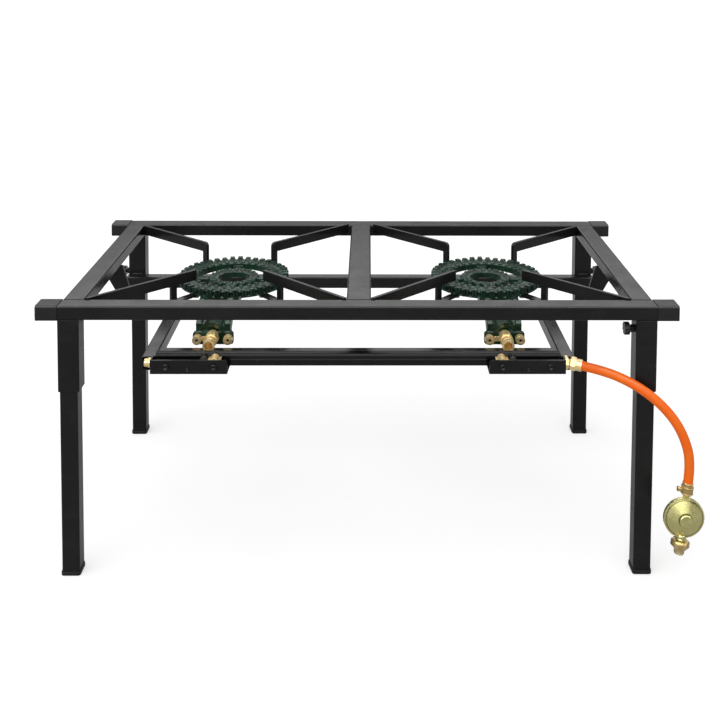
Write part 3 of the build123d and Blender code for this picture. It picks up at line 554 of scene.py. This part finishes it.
def weld_beads(material):
    """The weld beads of the frame, in one piece."""
    work = bmesh.new()
    draw = random.Random(7)
    under = 0.370
    for sx in (-1, 1):
        for sy in (-1, 1):
            for edge in (-0.0148, 0.0148):
                x = sx * 0.405 + edge
                weld(work, (x, sy * 0.221, under), (x, sy * 0.199, under), 0.0017, draw)
            weld(work, (sx * 0.394, sy * 0.195, under), (sx * 0.416, sy * 0.195, under), 0.0017, draw)
            weld(work, (sx * 0.390, sy * 0.1947, 0.373), (sx * 0.390, sy * 0.1947, 0.386), 0.0014, draw)
            for edge in (-0.0174, 0.0174):
                weld(work, (edge, sy * 0.1947, 0.373), (edge, sy * 0.1947, 0.386), 0.0013, draw)
            weld(work, (sx * 0.003, sy * 0.195, under), (sx * 0.014, sy * 0.195, under), 0.0017, draw)
        for foot_x, foot_y in ((0.3790, -0.1949), (0.0320, -0.1949), (0.3880, 0.1949), (0.0320, 0.1949)):
            weld(work, (sx * foot_x, foot_y, 0.3770), (sx * foot_x, foot_y, 0.3880), 0.0030, draw)
        for low_y in (-0.165, -0.145):
            weld(work, (sx * 0.293, low_y, 0.2825), (sx * 0.293, low_y, 0.2975), 0.0015, draw)
        weld(work, (sx * 0.293, -0.161, 0.300), (sx * 0.293, -0.149, 0.300), 0.0013, draw)
        weld(work, (sx * 0.395, 0.195, 0.300), (sx * 0.415, 0.195, 0.300), 0.0017, draw)
        weld(work, (sx * 0.395, 0.195, 0.280), (sx * 0.415, 0.195, 0.280), 0.0017, draw)
    add_piece("weld_beads", work, material)


def socket_head(work, at, radius, proud):
    """Adds a black round head with a sunk socket, facing the front."""
    profile = [(0.0, -0.0003), (radius, -0.0003), (radius * 1.02, proud * 0.5), (radius * 0.84, proud),
               (radius * 0.52, proud * 1.08), (radius * 0.46, proud * 0.25), (0.0, proud * 0.2)]
    turned(work, profile, at, (0, -1, 0))


def bracket_screws(material):
    """Black heads in the brackets' holes and on the spindles, and black stubs in the flange bolts' drilled ends as
    painted shade for the inside of the holes.
    """
    work = bmesh.new()
    for sx in (-1, 1):
        socket_head(work, (sx * 0.275, -0.1989, 0.2925), 0.0050, 0.0024)
        socket_head(work, (sx * 0.244, -0.1989, 0.2890), 0.0031, 0.0016)
        # painted shade: black stubs fill the flange bolts' drilled ends, where the holes would be in shade
        for off in (-0.023, 0.023):
            turned(work, [(0.0, 0.0), (0.00245, 0.0), (0.00245, 0.0035), (0.0, 0.0030)],
                   (sx * NECK_X + off, -0.1252, 0.3045), (0, -1, 0), 16)
    add_piece("bracket_screws", work, material)
    for sx, side in ((-1, "left"), (1, "right")):
        work = bmesh.new()
        socket_head(work, (sx * 0.2065, -0.1996, 0.2925), 0.0048, 0.0024)
        add_piece(f"{side}_spindle_head", work, material, f"{side}_spindle")


def split_taps(brass, black):
    """The taps as they look: a brass block, and the feed tube beside it in black."""
    for sx, side in ((-1, "left"), (1, "right")):
        name = f"{side}_tap_body"
        for part, material, slot, outer in (("block", brass, "brass", True), ("feed", black, "frame_black", False)):
            work = bmesh.new()
            work.from_mesh(nodes[name].data)
            bmesh.ops.remove_doubles(work, verts=work.verts, dist=MERGE)
            cut = bmesh.ops.bisect_plane(
                work, geom=list(work.verts) + list(work.edges) + list(work.faces), dist=MERGE,
                plane_co=(sx * TAP_CUT, 0, 0), plane_no=(sx, 0, 0), clear_outer=outer, clear_inner=not outer)
            open_edges = [e for e in cut["geom_cut"] if isinstance(e, bmesh.types.BMEdge)]
            bmesh.ops.holes_fill(work, edges=open_edges)
            obj = add_piece(f"{side}_tap_{part}", work, material)
            if outer:
                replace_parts(obj, name)


def rail_lugs(material):
    """Black lugs from the gas rail to the brackets, beside the taps."""
    work = bmesh.new()
    for sx in (-1, 1):
        profile = [(0.0, 0.0), (0.0062, 0.0), (0.0062, 0.0150), (0.0057, 0.0172), (0.0046, 0.0184), (0.0, 0.0186)]
        turned(work, profile, (sx * 0.2220, -0.1780, 0.2985), (0, -1, 0))
    add_piece("rail_lugs", work, material)


def end_plug(material):
    """The gas rail's end plug: a round collar, then a small hex with a drilled end."""
    work = bmesh.new()
    end = (-0.2970, -0.1890, 0.2955)
    collar = [(0.0, 0.0), (0.0066, 0.0), (0.0070, 0.0005), (0.0070, 0.0036), (0.0064, 0.0044), (0.0, 0.0044)]
    head = [(0.0, 0.0040), (0.0062, 0.0040), (0.0064, 0.0046), (0.0064, 0.0088), (0.0058, 0.0096),
            (0.0026, 0.0096), (0.0024, 0.0070), (0.0, 0.0068)]
    turned(work, collar, end, (-1, 0, 0))
    turned(work, head, end, (-1, 0, 0), 6)
    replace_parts(add_piece("end_plug", work, material), "gas_rail_plug")


def swivel_nut(brass, gold, top, down):
    """The swivel nut with its threaded end, and the casting's neck above it."""
    top, down = Vector(top), Vector(down)
    work = bmesh.new()
    thick = 0.0102
    hexagon = [(0.0042, 0.0), (0.0112, 0.0), (0.0127, 0.0014), (0.0127, thick - 0.0014), (0.0112, thick),
               (0.0042, thick)]
    turned(work, hexagon, top + down * 0.0822, down, 6)
    thread = [(0.0042, 0.0), (0.0070, 0.0)]
    for turn in range(6):
        low = 0.0016 + turn * 0.00125
        thread += [(0.0061, low), (0.0071, low + 0.0006)]
    thread += [(0.0066, 0.0098), (0.0042, 0.0098)]
    turned(work, thread, top + down * 0.0914, down, 32)
    nut = add_piece("swivel_nut", work, brass, "inlet_swivel")
    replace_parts(nut, "inlet_nut")
    work = bmesh.new()
    neck = [(0.0042, 0.0), (0.0060, 0.0), (0.0056, 0.0040), (0.0056, 0.0058), (0.0064, 0.0066), (0.0064, 0.0080),
            (0.0042, 0.0080)]
    turned(work, neck, top + down * 0.0740, down)
    return nut, add_piece("inlet_neck", work, gold)


def clamp_details(material, top, down):
    """Three rolled rings round the hose's sleeve and its clamp."""
    work = bmesh.new()
    for drop, radius in ((0.0012, 0.0073), (0.0060, 0.0085), (0.0150, 0.0085)):
        ring = [(radius - 0.0014, -0.0008), (radius, -0.0004), (radius + 0.0003, 0.0), (radius, 0.0004),
                (radius - 0.0014, 0.0008)]
        turned(work, ring, Vector(top) + down * drop, down, 36)
    return add_piece("clamp_rings", work, material)


def cast_burner(side, material):
    """One burner casting: the solid's form fused and rounded, its nubs split and its skin roughened."""
    sx = -1 if side == "left" else 1
    name = f"{side}_burner"
    work = bmesh.new()
    work.from_mesh(nodes[name].data)
    bmesh.ops.remove_doubles(work, verts=work.verts, dist=MERGE)
    draw = random.Random(11)
    for i in range(26):
        turn = 2 * math.pi * (i + 0.5) / 26
        for reach, top, size in ((HUB_R - 0.0105, 0.3592, 0.0030), (HUB_R - 0.0015, 0.3600, 0.0026)):
            at = (sx * BURNER_X + reach * math.cos(turn), reach * math.sin(turn), 0.3560)
            tall = top + draw.uniform(-0.0006, 0.0010) - 0.3560
            profile = [(0.0, 0.0), (size, 0.0002), (size, tall * 0.75), (size * 0.7, tall), (0.0, tall + 0.0002)]
            turned(work, profile, at, (0, 0, 1), 10)
    outline = ((-0.1170, 0.3050), (-0.1170, 0.3235), (-0.0850, 0.3500), (-0.0650, 0.3525), (-0.0650, 0.3440),
               (-0.1130, 0.3020))
    near, far = ([work.verts.new((sx * NECK_X + x, y, z)) for y, z in outline] for x in (-0.0220, 0.0220))
    for i in range(len(outline)):
        j = (i + 1) % len(outline)
        work.faces.new((near[i], far[i], far[j], near[j]))
    work.faces.new(near)
    work.faces.new(list(reversed(far)))
    low = Vector((sx * NECK_X, -0.1170, 0.3125))
    run = Vector((sx * BURNER_X, -0.0560, 0.3360)) - low
    turned(work, [(0.0, 0.0), (0.0176, 0.0), (0.0182, run.length), (0.0, run.length)], low, run)
    turned(work, [(0.0, 0.0), (0.0150, 0.0), (0.0150, 0.0160), (0.0, 0.0160)],
           (sx * NECK_X, -0.1180, 0.3080), (0, 1, 0))
    rough = bpy.data.meshes.new(name + "_rough")
    work.to_mesh(rough)
    work.free()
    source = bpy.data.objects.new(name + "_rough", rough)
    bpy.context.scene.collection.objects.link(source)
    fuse = source.modifiers.new("fuse", "REMESH")
    fuse.mode = "VOXEL"
    fuse.voxel_size = 0.0009
    soften = source.modifiers.new("soften", "SMOOTH")
    soften.factor = 0.5
    soften.iterations = 3
    graph = bpy.context.evaluated_depsgraph_get()
    mesh = bpy.data.meshes.new_from_object(source.evaluated_get(graph))
    bpy.data.objects.remove(source)
    tops = [draw.uniform(-0.0011, 0.0002) for _ in range(NUBS)]
    leans = [draw.uniform(-0.05, 0.05) for _ in range(NUBS)]
    pitch = 2 * math.pi / NUBS
    normals = [vertex.normal.copy() for vertex in mesh.vertices]
    for vertex, normal in zip(mesh.vertices, normals):
        x, y, z = vertex.co.x - sx * BURNER_X, vertex.co.y, vertex.co.z
        reach = math.hypot(x, y)
        if reach > 0.077 and z > RING_LOW + 0.0015 and y > -RING_R - 0.001:
            turn = math.atan2(y, x) / pitch
            nub = round(turn)
            off = (turn - nub) * pitch * reach
            if reach > RING_R - 0.0042 and z < NUB_TOP - 0.0008:
                cut = max(0.0, 1.0 - (off / NUB_GAP) ** 2)
                between = pitch * reach / 2 - abs(off)
                gap = 0.0032 * min(1.0, max(0.0, (0.0030 - between) / 0.0010)) if reach > RING_R - 0.0022 else 0.0
                inward = max(0.0026 * cut, gap) * min(1.0, (z - RING_LOW - 0.0015) / 0.0015)
                vertex.co.x -= x / reach * inward
                vertex.co.y -= y / reach * inward
            if z > RING_TOP + 0.0012:
                vertex.co.z += tops[nub % NUBS] + off * leans[nub % NUBS]
        place = vertex.co
        grain = noise.noise(place * 260.0) * 0.00024 + noise.noise(place * 800.0) * 0.00010
        vertex.co = place + normal * grain
    mesh.name = name + "_casting"
    for polygon in mesh.polygons:
        polygon.use_smooth = True
    mesh.materials.clear()
    mesh.materials.append(material)
    obj = bpy.data.objects.new(name + "_casting", mesh)
    bpy.context.scene.collection.objects.link(obj)
    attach(obj, "frame")
    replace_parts(obj, name)


def dress(materials):
    """Gives each CAD node the finish of its slot."""
    for entry in frame["record"]["subparts"]:
        obj = nodes[entry["node"]]
        obj.data.materials.clear()
        obj.data.materials.append(materials[entry["material_slot"]])
        obj.material_slots[0].material = materials[entry["material_slot"]]


def gas_hose(material):
    """The hose as one smooth round curve on the part's route."""
    curve = bpy.data.curves.new("orange_gas_hose", "CURVE")
    curve.dimensions = "3D"
    curve.bevel_depth = HOSE_D / 2
    curve.bevel_resolution = 12
    curve.resolution_u = 24
    spline = curve.splines.new("NURBS")
    spline.points.add(len(HOSE_ROUTE) - 1)
    for point, at in zip(spline.points, HOSE_ROUTE):
        point.co = (*at, 1.0)
    spline.order_u = 3
    spline.use_endpoint_u = True
    curve.materials.append(material)
    hose = bpy.data.objects.new("orange_gas_hose", curve)
    bpy.context.scene.collection.objects.link(hose)
    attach(hose, "frame")
    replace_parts(hose, "gas_hose")


camera()
studio()
finishes = {
    "frame_black": powder_black(),
    "cap_black": moulded_black("cap_black", 0.012, 0.38),
    "knob_black": moulded_black("knob_black", 0.008, 0.24),
    "cast_green": green_casting(),
    "brass": machined_brass(),
    "steel": zinc_steel(),
    "hose_orange": orange_hose(),
    "regulator_gold": regulator_gold(REG_CENTRE, REG_FACING),
}
dress(finishes)
for side in ("left", "right"):
    cast_burner(side, finishes["cast_green"])
weld_beads(finishes["frame_black"])
bracket_screws(finishes["knob_black"])
split_taps(finishes["brass"], finishes["frame_black"])
rail_lugs(finishes["frame_black"])
end_plug(finishes["brass"])
rings = clamp_details(finishes["brass"], HOSE_ROUTE[-1], REG_DOWN)
nut, neck = swivel_nut(finishes["brass"], finishes["regulator_gold"], HOSE_ROUTE[-1], REG_DOWN)
gas_hose(finishes["hose_orange"])
